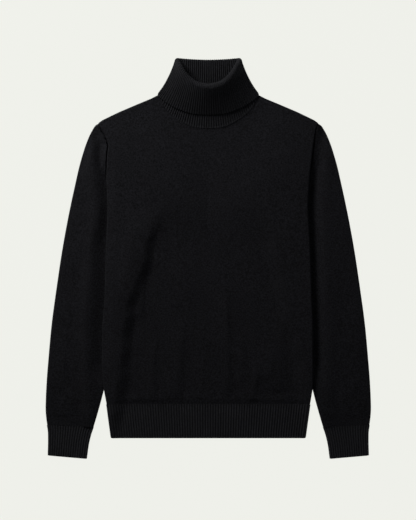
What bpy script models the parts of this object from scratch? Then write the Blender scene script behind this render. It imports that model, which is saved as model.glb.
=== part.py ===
"""A men's turtleneck sweater in wool knit, laid out flat on its back.

It lies on the plane z = 0 with its collar towards +Y and its front towards +Z.
The body lies over the inner edges of both sleeves, so its sides ride up over them.
Every piece is a wall of cloth: two grids of points, one for each face, joined along their rims.
Lengths in the tables are millimetres.
"""

import bmesh
import bpy
import numpy as np

MILLIMETRE = 0.001

# Cloth
WALL = 2.4
COLLAR_WALL = 2.6
PANEL_GAP = 1.2
SEAM_GAP = 0.3
RIB_HEIGHT = 0.8

# Body
HEM_SEAM_Y = -292.6
HEM_END_Y = -360.6
HEM_TOP_HALF = 203.0
HEM_END_HALF = 194.0
HEM_CORNER = 2.5
HEM_RIBS = 77

# The body's edge on each side, from the hem's seam to the shoulder point
# y, left x, right x
BODY_SIDES = (
    (HEM_SEAM_Y, -203.0, 203.0),
    (-262.6, -208.6, 207.6),
    (-216.0, -212.4, 207.6),
    (-136.0, -211.4, 207.2),
    (-76.0, -206.8, 204.8),
    (23.0, -204.2, 201.6),
    (103.0, -200.6, 197.4),
    (160.0, -203.6, 200.0),
    (203.0, -202.0, 204.6),
    (225.0, -199.4, 206.0),
    (245.0, -206.6, 210.4),
    (258.0, -214.8, 215.2),
    (267.6, -220.6, 220.6),
)

# The shoulder's edge, from the shoulder point to the neck
# x, y
SHOULDER = (
    (220.6, 267.6),
    (211.4, 274.4),
    (178.6, 290.4),
    (141.6, 306.4),
    (113.0, 318.4),
    (98.0, 326.4),
)

# The neck's edge on each panel, from the shoulder to the middle
# x, front y, back y
NECK = (
    (98.0, 326.4, 326.4),
    (95.2, 316.6, 319.0),
    (90.0, 301.0, 318.0),
    (76.0, 285.6, 313.6),
    (55.2, 272.0, 308.0),
    (30.5, 261.6, 304.6),
    (0.0, 259.0, 303.2),
)

# A column of points runs to each of these places along the neck and to its end
NECK_CORNER = 90.0
# The shoulder's fall, and how far round the neck's end its fold fades out
SHOULDER_FALL = 24.0
FOLD_FADE_FROM = -8.0
FOLD_FADE_TO = 14.0

# Sleeves, for the one at -X: the fold at the outer edge and the edge under the body
# outer x, outer y, inner x, inner y, height
SLEEVE_ROWS = (
    (-219.8, 267.6, -107.6, 109.6, 5.2),
    (-225.2, 264.4, -108.4, 101.0, 5.4),
    (-233.0, 252.5, -109.5, 92.0, 5.8),
    (-243.0, 230.4, -111.5, 76.0, 6.6),
    (-254.5, 194.4, -117.0, 60.0, 7.4),
    (-267.3, 140.4, -126.0, 31.0, 8.0),
    (-278.8, 86.4, -137.0, -6.0, 8.0),
    (-292.0, 14.4, -151.0, -53.0, 8.0),
    (-302.8, -57.6, -166.7, -105.0, 8.0),
    (-312.6, -129.6, -182.6, -158.0, 8.0),
    (-319.4, -201.6, -195.8, -215.0, 8.0),
    (-322.9, -246.0, -205.8, -253.0, 8.0),
    (-324.6, -280.0, -213.0, -281.6, 8.0),
    (-325.0, -306.0, -220.0, -307.0, 8.0),
    (-323.4, -324.0, -226.0, -327.5, 7.6),
    (-321.9, -333.9, -229.3, -338.3, 7.2),
)
SLEEVE_ACROSS = 7
SLEEVE_ROUND = 3

# Cuffs, for the one at -X
# outer x, outer y, inner x, inner y, height
CUFF_ROWS = (
    (-321.7, -334.5, -229.6, -338.9, 7.0),
    (-320.0, -347.0, -234.0, -351.4, 6.6),
    (-319.6, -362.0, -238.0, -367.0, 6.4),
    (-320.2, -394.9, -243.2, -401.6, 6.4),
)
CUFF_RIBS = 18
CUFF_ROUND = 4
CUFF_UNDER = 8

# How high the body rides over a sleeve
# y, height
RIDE_HEIGHTS = (
    (-400.0, 8.9),
    (150.0, 8.9),
    (200.0, 7.9),
    (244.0, 6.6),
    (256.0, 6.2),
    (268.0, 5.9),
)
# The slope up to it, inwards from the sleeve's hidden edge
# y, distance to its middle and width at -X, the same at +X
RIDE_SLOPES = (
    (-400.0, 38.0, 46.0, 34.0, 49.0),
    (-265.0, 35.0, 40.0, 27.0, 40.0),
    (-205.0, 28.0, 34.0, 23.0, 34.0),
    (-145.0, 20.0, 30.0, 22.0, 32.0),
    (-82.0, 15.0, 26.0, 22.0, 32.0),
    (-46.0, 21.0, 26.0, 21.0, 34.0),
    (36.0, 16.0, 26.0, 20.0, 34.0),
    (110.0, 18.0, 32.0, 20.0, 44.0),
)
# Towards the shoulders it turns into a long gentle slope: its middle, its width and the change's y
LONG_SLOPE = (76.0, 140.0)
LONG_SLOPE_FROM = 10.0
LONG_SLOPE_TO = 110.0

# Soft ridges that run up from the hem on the front, each along one of the body's columns
# column x, head y, height
CREASES = (
    (-112.0, -180.0, 1.8),
    (-61.0, -150.0, 2.2),
    (-14.0, -190.0, 1.2),
    (33.0, -90.0, 2.4),
    (84.0, -190.0, 1.8),
    (138.0, -120.0, 2.0),
)
# Where the columns of points stand along the hem's seam, apart from those at the folded edges
BODY_COLUMNS = (-190.0, -172.0, -152.0, -132.0, -112.0, -96.0, -78.0, -61.0, -46.0, -30.0, -14.0, 4.0)
BODY_COLUMNS += (18.0, 33.0, 48.0, 66.0, 84.0, 100.0, 119.0, 138.0, 155.0, 172.0, 190.0)
BODY_ROWS = 18
# The rows of points near the shoulder: how far below it, and in radii of the fold
TOP_CLEAR = 16.0
TOP_START = 5.0
TOP_RADII = (1.1, 0.33)
# How far above the seam a crease fades in, and below its head it fades out
CREASE_FOOT = 30.0
CREASE_HEAD = 60.0
# The columns of points next to the folded edge
EDGE_RADII = 0.3
EDGE_START = 4.0
# The rows of points down a welt, as shares of its depth
HEM_ROWS = (0.0, 0.5, 0.965, 1.0)

# Collar: sections from the middle of the front (0) round the right side to the middle of the back (1)
# share, seam x y z, roll centre x y z, roll radius, free edge x y z, knee, fold-over's bulge
COLLAR_ROWS = (
    (0.00, 0.0, 260.4, 4.9, 0.0, 337.2, 34.0, 6.6, 0.0, 285.0, 13.0, 3.0, -1.6),
    (0.14, 30.0, 263.4, 4.9, 21.6, 341.8, 33.2, 6.4, 30.2, 286.8, 12.8, 3.0, -1.8),
    (0.26, 54.0, 274.4, 4.9, 36.6, 352.0, 31.4, 5.8, 55.6, 294.4, 12.2, 2.8, -2.0),
    (0.38, 74.0, 288.2, 5.2, 48.8, 366.4, 28.4, 5.0, 77.8, 305.2, 11.4, 2.0, -2.0),
    (0.47, 88.0, 304.0, 6.2, 56.4, 380.8, 23.6, 4.4, 94.0, 316.8, 10.2, 0.6, -2.2),
    (0.55, 93.8, 322.0, 4.2, 60.4, 392.8, 15.6, 3.8, 100.2, 326.6, 7.8, -0.4, -1.6),
    (0.62, 85.6, 320.6, 1.5, 55.4, 393.8, 7.6, 3.5, 90.6, 334.0, 1.8, 3.2, 1.2),
    (0.72, 62.0, 311.0, 1.3, 41.0, 392.4, 5.2, 3.3, 62.0, 334.0, 1.4, 2.4, 1.2),
    (0.86, 31.0, 306.4, 1.3, 21.0, 391.4, 4.5, 3.2, 30.0, 334.4, 1.4, 2.6, 1.2),
    (1.00, 0.0, 304.8, 1.3, 0.0, 391.0, 4.5, 3.1, 0.0, 334.4, 1.4, 2.6, 1.2),
)
COLLAR_RIBS = 82
# The ribs lie this much wider apart at the back, and the shares over which that changes
BACK_SPACING = 1.21
BACK_SPACED_FROM = 0.62
BACK_SPACED_TO = 0.72
# Where the front's ribs give way to the back's, and over what share
RIB_CHANGE = 0.62
RIB_CHANGE_SPREAD = 0.06
# The flattened neck's fold at each side: its share, and how far face A thins and its ribs fade there
SIDE_SHARE = 0.56
SIDE_THINNING = 0.8
THINNING_SPREAD = 0.06
PLAIN_SPREAD = 0.03
PLAIN_FADE = 0.04
# Where the stand bends, as shares of its height
BENDS = (0.29, 0.66)
# It bends inwards by its knee times this, times the shares of its height below and above
STAND_BEND = 4.96
ARC_ANGLES = (45.0, 90.0, 135.0)
# The rows of points that each face keeps
FACE_A_ROWS = (0, 2, 3, 4, 5, 6, 7, 8, 9)
FACE_B_ROWS = (0, 1, 2, 3, 5, 7, 8, 9)

# Finishes
BLACK_KNIT = (0.0075, 0.0075, 0.0085, 1.0)
BLACK_RIB = (0.0065, 0.0065, 0.0072, 1.0)
KNIT_ROUGHNESS = 0.92


def smooth(value):
    """0 below 0, 1 above 1, and an even S between them."""
    value = np.clip(value, 0.0, 1.0)
    return value * value * (3.0 - 2.0 * value)


def read_table(rows, column, at, key=0):
    """The column's value where the key column is `at`, on straight lines between the rows."""
    table = np.array(sorted(rows, key=lambda row: row[key]))
    return np.interp(at, table[:, key], table[:, column])


def unit(vectors):
    return vectors / np.linalg.norm(vectors, axis=-1, keepdims=True)


def make_node(name, points, faces, material):
    """One closed mesh object from points in millimetres."""
    mesh = bpy.data.meshes.new(name)
    mesh.from_pydata([tuple(point * MILLIMETRE) for point in points], [], faces)
    sheet = bmesh.new()
    sheet.from_mesh(mesh)
    bmesh.ops.recalc_face_normals(sheet, faces=sheet.faces)
    sheet.to_mesh(mesh)
    sheet.free()
    mesh.shade_smooth()
    mesh.set_sharp_from_angle(angle=np.radians(50.0))
    mesh.materials.append(material)
    node = bpy.data.objects.new(name, mesh)
    bpy.context.scene.collection.objects.link(node)
    return node


def grid_faces(rows, columns, start, wraps):
    """Triangles over a grid whose first point has the index `start`, all cut along one diagonal."""
    faces = []
    for row in range(rows - 1):
        for column in range(columns if wraps else columns - 1):
            beside = (column + 1) % columns
            low = start + row * columns
            high = low + columns
            faces.append((low + column, low + beside, high + beside))
            faces.append((low + column, high + beside, high + column))
    return faces


def joined_rims(outer, inner):
    """Faces that join two rims, where the outer one has as many steps or twice as many."""
    step = (len(outer) - 1) // (len(inner) - 1)
    faces = []
    for place in range(len(inner) - 1):
        span = outer[place * step : (place + 1) * step + 1]
        faces.append(tuple(span) + (inner[place + 1], inner[place]))
    return faces


def wall_node(name, outer, inner, wraps, material):
    """A wall between an outer and an inner grid, shaped (rows, columns, 3)."""
    rows_out, columns_out = outer.shape[:2]
    rows_in, columns_in = inner.shape[:2]
    start = rows_out * columns_out
    points = np.concatenate([outer.reshape(-1, 3), inner.reshape(-1, 3)])
    faces = grid_faces(rows_out, columns_out, 0, wraps)
    faces += [face[::-1] for face in grid_faces(rows_in, columns_in, start, wraps)]
    closing = [0] if wraps else []
    across_out = list(range(columns_out)) + closing
    across_in = list(range(columns_in)) + closing
    for row_out, row_in in ((0, 0), (rows_out - 1, rows_in - 1)):
        rim_out = [row_out * columns_out + column for column in across_out]
        rim_in = [start + row_in * columns_in + column for column in across_in]
        faces += joined_rims(rim_out, rim_in)
    if not wraps:
        for column_out, column_in in ((0, 0), (columns_out - 1, columns_in - 1)):
            rim_out = [row * columns_out + column_out for row in range(rows_out)]
            rim_in = [start + row * columns_in + column_in for row in range(rows_in)]
            faces += joined_rims(rim_out, rim_in)
    return make_node(name, points, faces, material)


def ride_height(x, y):
    """How far the sleeve beneath lifts the body at a point."""
    rim = [(row[2], row[3]) for row in SLEEVE_ROWS + CUFF_ROWS]
    rim.insert(0, SLEEVE_ROWS[0][:2])
    rim = np.array(rim)
    point = np.stack([-np.abs(x), y], axis=-1)
    nearest = np.full(np.shape(x), 1e9)
    for start, end in zip(rim[:-1], rim[1:]):
        along = end - start
        share = np.clip(((point - start) @ along) / (along @ along), 0.0, 1.0)
        away = np.linalg.norm(point - start - share[..., None] * along, axis=-1)
        nearest = np.minimum(nearest, away)
    rim_x = np.interp(y, rim[::-1, 1], rim[::-1, 0])
    inside = np.where(point[..., 0] < rim_x, nearest, -nearest)
    left = x < 0.0
    centre = np.where(left, read_table(RIDE_SLOPES, 1, y), read_table(RIDE_SLOPES, 3, y))
    width = np.where(left, read_table(RIDE_SLOPES, 2, y), read_table(RIDE_SLOPES, 4, y))
    rise = smooth((inside + centre) / width + 0.5)
    gentle = smooth((inside + LONG_SLOPE[0]) / LONG_SLOPE[1] + 0.5)
    share = smooth((y - LONG_SLOPE_FROM) / (LONG_SLOPE_TO - LONG_SLOPE_FROM))
    return read_table(RIDE_HEIGHTS, 1, y) * (rise * (1.0 - share) + gentle * share)


def crease_height(across, y):
    """How far the front's ridges stand up on each column, given its place along the hem."""
    height = np.zeros(np.shape(y))
    for column_x, head_y, tallest in CREASES:
        fade = smooth((y - HEM_SEAM_Y) / CREASE_FOOT) * smooth((head_y - y) / CREASE_HEAD)
        height += np.where(np.abs(across - column_x) < 1.0, tallest * fade, 0.0)
    return height


def roll_radius():
    """The radius of the middle of the wall where the body folds over at its edge."""
    return (WALL + PANEL_GAP) / 2.0


def level_of(front):
    """The height of the middle of a body panel's wall above what it lies on."""
    return WALL * 1.5 + PANEL_GAP if front else WALL * 0.5


def body_sheet(plan, edge, outward, front, ridges=0.0):
    """The middle of a body panel's wall and its upward normals.

    plan is the grid of x and y; edge is each point's distance from the folded edge,
    outward the flat direction to that edge, and ridges what the creases add to the height.
    """
    x, y = plan[..., 0], plan[..., 1]
    radius = roll_radius()
    side = 1.0 if front else -1.0
    step = 0.5
    height = ride_height(x, y)
    slope_x = (ride_height(x + step, y) - ride_height(x - step, y)) / (2.0 * step)
    slope_y = (ride_height(x, y + step) - ride_height(x, y - step)) / (2.0 * step)
    height = height + ridges
    upward = unit(np.stack([-slope_x, -slope_y, np.ones_like(x)], axis=-1))
    turn = np.arcsin(np.clip(1.0 - edge / radius, 0.0, 1.0))
    seam_turn = np.arccos(SEAM_GAP / 2.0 / radius)
    turn = np.minimum(turn, seam_turn)
    level = level_of(front) + height
    middle = np.stack([x, y, level - side * radius * (1.0 - np.cos(turn))], axis=-1)
    climb = outward[..., 0] * slope_x + outward[..., 1] * slope_y
    beyond = np.concatenate([outward, climb[..., None]], axis=-1)
    normal = side * upward * np.cos(turn)[..., None] + beyond * np.sin(turn)[..., None]
    return middle, unit(normal)


def body_shares():
    """The columns' places as shares of the body's width, closer together where its edges fold."""
    half = HEM_TOP_HALF - WALL / 2.0
    edge = half - np.array([0.0, EDGE_RADII * roll_radius(), roll_radius(), EDGE_START])
    places = np.concatenate([-edge, BODY_COLUMNS, edge[::-1]])
    return (places / half + 1.0) / 2.0


def body_panel(name, front, material):
    """The front or the back of the body, from the hem's seam to the shoulders and the neck."""
    radius = roll_radius()
    inset = WALL / 2.0
    across = body_shares()
    neck_column = 1 if front else 2
    corner_x = SHOULDER[0][0] - inset
    top_x = (across * 2.0 - 1.0) * corner_x
    for spot in (SHOULDER[-1][0], NECK_CORNER):
        for sign in (-1.0, 1.0):
            nearest = np.argmin(np.abs(top_x - sign * spot))
            top_x[nearest] = sign * spot
    neck_x = SHOULDER[-1][0]
    on_neck = np.abs(top_x) < neck_x
    shoulder_y = read_table(SHOULDER, 1, np.abs(top_x)) - inset
    neck_y = read_table(NECK, neck_column, np.abs(top_x))
    top_y = np.where(on_neck, neck_y, shoulder_y)
    shoulder_reach = top_y[0] - HEM_SEAM_Y
    fold = np.array([TOP_START, TOP_RADII[0] * radius, TOP_RADII[1] * radius, 0.0])
    fold = fold / shoulder_reach
    spread = np.linspace(0.0, 1.0 - TOP_CLEAR / shoulder_reach, BODY_ROWS)
    rise = np.concatenate([spread, 1.0 - fold])
    share, up = np.meshgrid(across, rise)
    foot_y = HEM_SEAM_Y + SEAM_GAP / 2.0
    side_y = foot_y + up * (top_y[0] - foot_y)
    left_x = read_table(BODY_SIDES, 1, side_y) + inset
    right_x = read_table(BODY_SIDES, 2, side_y) - inset
    foot_half = HEM_TOP_HALF - inset
    foot_x = (share * 2.0 - 1.0) * foot_half
    corners = (1.0 - share) * (-foot_half * (1.0 - up) - corner_x * up)
    corners += share * (foot_half * (1.0 - up) + corner_x * up)
    sides = (1.0 - share) * left_x + share * right_x
    x = (1.0 - up) * foot_x + up * top_x[None, :] + sides - corners
    y = foot_y + up * (top_y[None, :] - foot_y)
    slant = np.radians(SHOULDER_FALL)
    side_gap = np.minimum(x - left_x, right_x - x)
    top_gap = (top_y[None, :] - y) * np.cos(slant)
    beyond_neck = np.abs(top_x) - neck_x - FOLD_FADE_FROM
    past_neck = smooth(beyond_neck / (FOLD_FADE_TO - FOLD_FADE_FROM))[None, :]
    side_pull = np.clip(1.0 - side_gap / radius, 0.0, 1.0)
    top_pull = np.clip(1.0 - top_gap / radius, 0.0, 1.0) * past_neck
    sign = np.where(x < 0.0, -1.0, 1.0)
    pull = np.hypot(side_pull, top_pull)
    round_off = radius * (1.0 - 1.0 / np.maximum(pull, 1.0))
    x = x - sign * side_pull * round_off
    y = y - top_pull * round_off
    pull = np.minimum(pull, 1.0)
    out_x = sign * (side_pull + top_pull * np.sin(slant))
    out_y = top_pull * np.cos(slant)
    outward = np.stack([out_x, out_y], axis=-1)
    outward /= np.maximum(np.linalg.norm(outward, axis=-1, keepdims=True), 1e-6)
    plan = np.stack([x, y], axis=-1)
    hem_x = (share * 2.0 - 1.0) * foot_half
    ridges = crease_height(hem_x, y) if front else 0.0
    middle, normal = body_sheet(plan, radius * (1.0 - pull), outward, front, ridges)
    outer = middle + normal * WALL / 2.0
    inner = middle - normal * WALL / 2.0
    return wall_node(name, outer, inner, False, material)


def hem_piece(name, front, material):
    """The welt of the front, ribbed, or of the back, which is plain where it rests."""
    radius = roll_radius()
    inset = WALL / 2.0
    steps = 2 * HEM_RIBS
    count = np.arange(steps + 1)
    across = count / steps
    edge = np.array([0.0, EDGE_RADII * radius, radius]) / (2.0 * HEM_TOP_HALF)
    across[:3] = edge
    across[-3:] = 1.0 - edge[::-1]
    top_y = HEM_SEAM_Y - SEAM_GAP / 2.0
    share, down = np.meshgrid(across, np.array(HEM_ROWS))
    half = HEM_TOP_HALF + (HEM_END_HALF - HEM_TOP_HALF) * down
    half = half - np.where(down == 1.0, HEM_CORNER, 0.0) - inset
    x = (share * 2.0 - 1.0) * half
    y = top_y + (HEM_END_Y - top_y) * down
    gap = half - np.abs(x)
    outward = np.stack([np.where(x < 0.0, -1.0, 1.0), np.zeros_like(x)], axis=-1)
    plan = np.stack([x, y], axis=-1)
    middle, normal = body_sheet(plan, gap, outward, front)
    crest = RIB_HEIGHT * (count % 2) * (1.0 if front else 0.0)
    outer = middle + normal * (WALL / 2.0 + crest[None, :, None])
    inner = middle - normal * WALL / 2.0
    if front:
        return wall_node(name, outer, inner[:, ::2], False, material)
    near_edge = np.minimum(count, steps - count)
    kept = (near_edge < 3) | ((near_edge < 24) & (near_edge % 3 == 2)) | (near_edge % 12 == 5)
    return wall_node(name, outer[:, kept], inner[:, kept], False, material)


def flat_tube(row, side, across_top, round_steps, across_under, ribbed):
    """One section of a flattened tube: its points and outward normals."""
    outer_x, outer_y, inner_x, inner_y, height = row
    start = np.array([outer_x, outer_y])
    along = np.array([inner_x, inner_y]) - start
    length = np.linalg.norm(along)
    along = along / length
    radius = height / 2.0
    points = []
    normals = []
    for step in range(across_top):
        share = step / across_top
        points.append((radius + (length - 2.0 * radius) * share, height))
        normals.append((0.0, 1.0))
    for step in range(round_steps):
        angle = np.pi * step / round_steps
        points.append((length - radius + radius * np.sin(angle), radius + radius * np.cos(angle)))
        normals.append((np.sin(angle), np.cos(angle)))
    for step in range(across_under):
        share = step / across_under
        points.append((length - radius - (length - 2.0 * radius) * share, 0.0))
        normals.append((0.0, -1.0))
    for step in range(round_steps):
        angle = np.pi * step / round_steps
        points.append((radius - radius * np.sin(angle), radius - radius * np.cos(angle)))
        normals.append((-np.sin(angle), -np.cos(angle)))
    points = np.array(points)
    normals = np.array(normals)
    if ribbed:
        raised = (np.arange(len(points)) % 2) * RIB_HEIGHT * (points[:, 1] > radius * 0.9)
        points = points + normals * raised[:, None]
    outer = np.empty((len(points), 3))
    outer[:, :2] = start + points[:, :1] * along
    outer[:, 2] = points[:, 1]
    inner = outer.copy()
    plain = points - normals * (WALL + (raised[:, None] if ribbed else 0.0))
    inner[:, :2] = start + plain[:, :1] * along
    inner[:, 2] = plain[:, 1]
    outer[:, 0] *= side
    inner[:, 0] *= side
    return outer, inner


def tube_node(name, rows, side, counts, ribbed, material):
    """A sleeve or a cuff: side is 1 at -X and -1 at +X."""
    sections = [flat_tube(row, side, *counts, ribbed) for row in rows]
    outer = np.array([section[0] for section in sections])
    inner = np.array([section[1] for section in sections])
    if ribbed:
        inner = inner[:, ::2]
    return wall_node(name, outer, inner, True, material)


def round_loop(column, at):
    """A collar column read round the whole neck; `at` runs from 0 to 2, and 1 is the back.

    Sideways columns change sign on the left half. The curve is a cubic through the rows.
    """
    table = np.array(COLLAR_ROWS)
    sideways = column in (1, 4, 8)
    share = table[:, 0]
    value = table[:, column]
    mirrored = -value if sideways else value
    knots = np.concatenate([share, 2.0 - share[-2:0:-1]])
    values = np.concatenate([value, mirrored[-2:0:-1]])
    count = len(knots)
    before = np.roll(knots, 1)
    before[0] -= 2.0
    after = np.roll(knots, -1)
    after[-1] += 2.0
    tangent = (np.roll(values, -1) - np.roll(values, 1)) / (after - before)
    index = np.clip(np.searchsorted(knots, at, side="right") - 1, 0, count - 1)
    following = (index + 1) % count
    span = after[index] - knots[index]
    place = (at - knots[index]) / span
    square, cube = place**2, place**3
    result = (2 * cube - 3 * square + 1) * values[index]
    result += (cube - 2 * square + place) * span * tangent[index]
    result += (3 * square - 2 * cube) * values[following]
    result += (cube - square) * span * tangent[following]
    return result


def rib_shares(columns):
    """Even steps from rib to rib as shares round the neck, from 0 to 2; 1 is the back."""
    shares = np.linspace(0.0, 1.0, 401)
    wider = smooth((shares - BACK_SPACED_FROM) / (BACK_SPACED_TO - BACK_SPACED_FROM))
    closeness = 1.0 / (1.0 + (BACK_SPACING - 1.0) * wider)
    passed = np.cumsum(closeness) - closeness[0]
    turn = 2.0 * np.arange(columns) / columns
    at = np.interp(np.minimum(turn, 2.0 - turn), passed / passed[-1], shares)
    return np.where(turn > 1.0, 2.0 - at, at)


def collar_sheet(at):
    """The middle of the collar's wall, from its seam over the roll to its free edge."""
    seam = np.stack([round_loop(column, at) for column in (1, 2, 3)], axis=-1)
    centre = np.stack([round_loop(column, at) for column in (4, 5, 6)], axis=-1)
    radius = round_loop(7, at)[:, None]
    free = np.stack([round_loop(column, at) for column in (8, 9, 10)], axis=-1)
    knee = round_loop(11, at)[:, None]
    bulge = round_loop(12, at)[:, None]
    upward = unit(centre - seam)
    around = np.roll(centre, -1, axis=0) - np.roll(centre, 1, axis=0)
    outward = unit(np.cross(around, upward))
    rows = [seam]
    for place in BENDS:
        bend = knee * STAND_BEND * place * (1.0 - place)
        rows.append(seam + (centre - outward * radius - seam) * place - outward * bend)
    rows.append(centre - outward * radius)
    for degrees in ARC_ANGLES:
        angle = np.radians(degrees)
        bend = upward * np.sin(angle) - outward * np.cos(angle)
        rows.append(centre + bend * radius)
    start = centre + outward * radius
    rows.append(start)
    rows.append((start + free) / 2.0 + outward * bulge)
    rows.append(free)
    return np.array(rows)


def collar_node(name, material):
    """The turtleneck: face A is inside the stand and outside the fold-over, face B the other."""
    columns = 2 * COLLAR_RIBS
    at = rib_shares(columns)
    middle = collar_sheet(at)
    along = np.gradient(middle, axis=0)
    around = np.roll(middle, -1, axis=1) - np.roll(middle, 1, axis=1)
    normal = unit(np.cross(along, around))
    towards_roll = (middle[5] - middle[3])[0] @ normal[5][0]
    if towards_roll < 0.0:
        normal = -normal
    crest = np.where(np.arange(columns) % 2 == 0, RIB_HEIGHT, 0.0)
    round_half = np.minimum(at, 2.0 - at)
    from_side = np.abs(round_half - SIDE_SHARE)
    at_front = smooth((RIB_CHANGE - round_half) / RIB_CHANGE_SPREAD)
    at_back = smooth((round_half - RIB_CHANGE) / RIB_CHANGE_SPREAD)
    rib_a = np.tile(crest, (len(middle), 1))
    rib_a[:3] *= at_back
    rib_a[3:5] *= smooth((from_side - PLAIN_SPREAD) / PLAIN_FADE)
    rib_a[7:] *= at_front
    thin = SIDE_THINNING * (1.0 - smooth(from_side / THINNING_SPREAD))
    half_a = np.tile(COLLAR_WALL / 2.0 - thin, (len(middle), 1))
    half_a[5:] = COLLAR_WALL / 2.0
    face_a = middle + normal * (half_a + rib_a)[..., None]
    rib_b = np.zeros((len(middle), columns))
    rib_b[:2] = crest * at_front
    face_b = middle - normal * (COLLAR_WALL / 2.0 + rib_b[..., None])
    face_a = face_a[list(FACE_A_ROWS)]
    face_b = face_b[list(FACE_B_ROWS)]
    for face in (face_a, face_b):
        face[..., 2] = np.maximum(face[..., 2], 0.0)
    return wall_node(name, face_a, face_b, True, material)


def cloth(name, colour):
    material = bpy.data.materials.new(name)
    material.use_nodes = True
    shader = material.node_tree.nodes["Principled BSDF"]
    shader.inputs["Base Color"].default_value = colour
    shader.inputs["Roughness"].default_value = KNIT_ROUGHNESS
    shader.inputs["Metallic"].default_value = 0.0
    return material


def main():
    for thing in list(bpy.data.objects):
        bpy.data.objects.remove(thing, do_unlink=True)
    knit = cloth("black_knit", BLACK_KNIT)
    rib = cloth("black_rib", BLACK_RIB)
    for name, front in (("back", False), ("front", True)):
        body_panel(name + "_panel", front, knit)
        hem_piece("hem_" + name, front, rib)
    sleeve_counts = (SLEEVE_ACROSS, SLEEVE_ROUND, SLEEVE_ACROSS)
    cuff_counts = (2 * CUFF_RIBS, CUFF_ROUND, CUFF_UNDER)
    for end, side in (("left", 1.0), ("right", -1.0)):
        tube_node("sleeve_" + end, SLEEVE_ROWS, side, sleeve_counts, False, knit)
        tube_node("cuff_" + end, CUFF_ROWS, side, cuff_counts, True, rib)
    collar_node("collar", rib)


main()
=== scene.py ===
"""Looks of a men's turtleneck sweater in black wool knit, laid out flat on its back.

Each piece of cloth is a thin closed shell over its solid, with the rounded ribs, the soft creases
and the knit that the plain solids leave out. Tables are in millimetres, in the solids' frame.
"""

import bpy
import numpy as np
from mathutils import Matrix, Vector


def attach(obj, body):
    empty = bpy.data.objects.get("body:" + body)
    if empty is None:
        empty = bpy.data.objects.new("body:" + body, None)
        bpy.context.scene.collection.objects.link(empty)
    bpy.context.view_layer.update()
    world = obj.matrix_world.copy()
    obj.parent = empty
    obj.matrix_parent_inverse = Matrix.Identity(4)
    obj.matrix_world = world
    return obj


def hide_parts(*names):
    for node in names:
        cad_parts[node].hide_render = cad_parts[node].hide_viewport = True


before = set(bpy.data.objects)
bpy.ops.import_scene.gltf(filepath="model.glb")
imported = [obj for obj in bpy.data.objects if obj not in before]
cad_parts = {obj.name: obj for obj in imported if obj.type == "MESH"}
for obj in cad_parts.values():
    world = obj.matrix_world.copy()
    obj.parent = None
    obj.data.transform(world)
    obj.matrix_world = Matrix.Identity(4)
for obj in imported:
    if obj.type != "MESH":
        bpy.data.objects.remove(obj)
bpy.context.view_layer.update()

MILLIMETRE = 0.001

# Cloth
WALL = 1.6
PANEL_GAP = 2.8
COLLAR_WALL = 2.4
SEAM_GAP = 0.3
RIB_HEIGHT = 0.8
RIB_STEPS = 8
VALLEY_DEPTH = 0.35
# How deep the valleys are on the underside, where no crest is raised
UNDER_VALLEY = 0.7
# A distance that is past every rim
FAR = 99.0

# Body
HEM_SEAM_Y = -292.6
HEM_END_Y = -360.6
HEM_TOP_HALF = 203.0
HEM_END_HALF = 194.0
HEM_CORNER = 2.5
HEM_CORNER_HEIGHT = 3.0
HEM_RIBS = 77

# y, left x, right x
BODY_SIDES = (
    (HEM_SEAM_Y, -203.0, 203.0),
    (-262.6, -208.6, 208.0),
    (-216.0, -212.4, 208.8),
    (-136.0, -211.4, 208.4),
    (-76.0, -206.8, 206.0),
    (23.0, -204.2, 202.6),
    (103.0, -200.6, 198.6),
    (160.0, -203.6, 201.8),
    (203.0, -202.0, 206.8),
    (225.0, -199.4, 209.6),
    (245.0, -206.6, 212.2),
    (258.0, -214.8, 215.2),
    (267.6, -220.6, 220.6),
)

# x, y
SHOULDER = (
    (220.6, 267.6),
    (211.4, 274.4),
    (178.6, 290.4),
    (141.6, 306.4),
    (113.0, 318.4),
    (98.0, 326.4),
)

# x, front y, back y
NECK = (
    (98.0, 326.4, 326.4),
    (95.7, 316.2, 319.0),
    (90.1, 301.4, 318.0),
    (76.1, 285.7, 313.6),
    (55.6, 271.5, 308.0),
    (30.8, 260.4, 304.6),
    (0.0, 257.5, 303.2),
)
SHOULDER_FALL = 24.0
# How far the front's edge rises to the collar's seam, and over what distance
NECK_RISE = 0.6
NECK_RISE_REACH = 5.0
# The front's rim there rounds off this many times faster, so that it meets the collar flush
NECK_RIM_HASTE = 4.0
# Past the neck point the top edge becomes a folded one, from one distance in x to another
FOLD_FADE_FROM = -8.0
FOLD_FADE_TO = 14.0

# Sleeves, for the one at -X
# outer x, outer y, inner x, inner y, height
SLEEVE_ROWS = (
    (-219.8, 267.6, -107.6, 109.6, 5.2),
    (-225.2, 264.4, -108.4, 101.0, 5.4),
    (-233.0, 252.5, -109.5, 92.0, 5.8),
    (-243.0, 230.4, -111.5, 76.0, 6.6),
    (-254.5, 194.4, -117.0, 60.0, 7.4),
    (-267.3, 140.4, -126.0, 31.0, 8.0),
    (-278.8, 86.4, -137.0, -6.0, 8.0),
    (-292.0, 14.4, -151.0, -53.0, 8.0),
    (-302.8, -57.6, -166.7, -105.0, 8.0),
    (-312.6, -129.6, -182.6, -158.0, 8.0),
    (-319.4, -201.6, -195.8, -215.0, 8.0),
    (-322.9, -246.0, -205.8, -253.0, 8.0),
    (-324.6, -280.0, -213.0, -281.6, 8.0),
    (-325.0, -306.0, -220.0, -307.0, 7.6),
    (-323.4, -324.0, -226.0, -327.5, 7.3),
    (-321.9, -333.9, -229.3, -338.3, 7.1),
)

# Cuffs, for the one at -X
# outer x, outer y, inner x, inner y, height
CUFF_ROWS = (
    (-321.9, -334.1, -229.4, -338.5, 7.1),
    (-320.0, -347.0, -234.0, -351.4, 7.1),
    (-319.6, -362.0, -238.0, -367.0, 7.6),
    (-320.2, -394.9, -243.2, -401.6, 8.8),
)
CUFF_RIBS = 18

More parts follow.
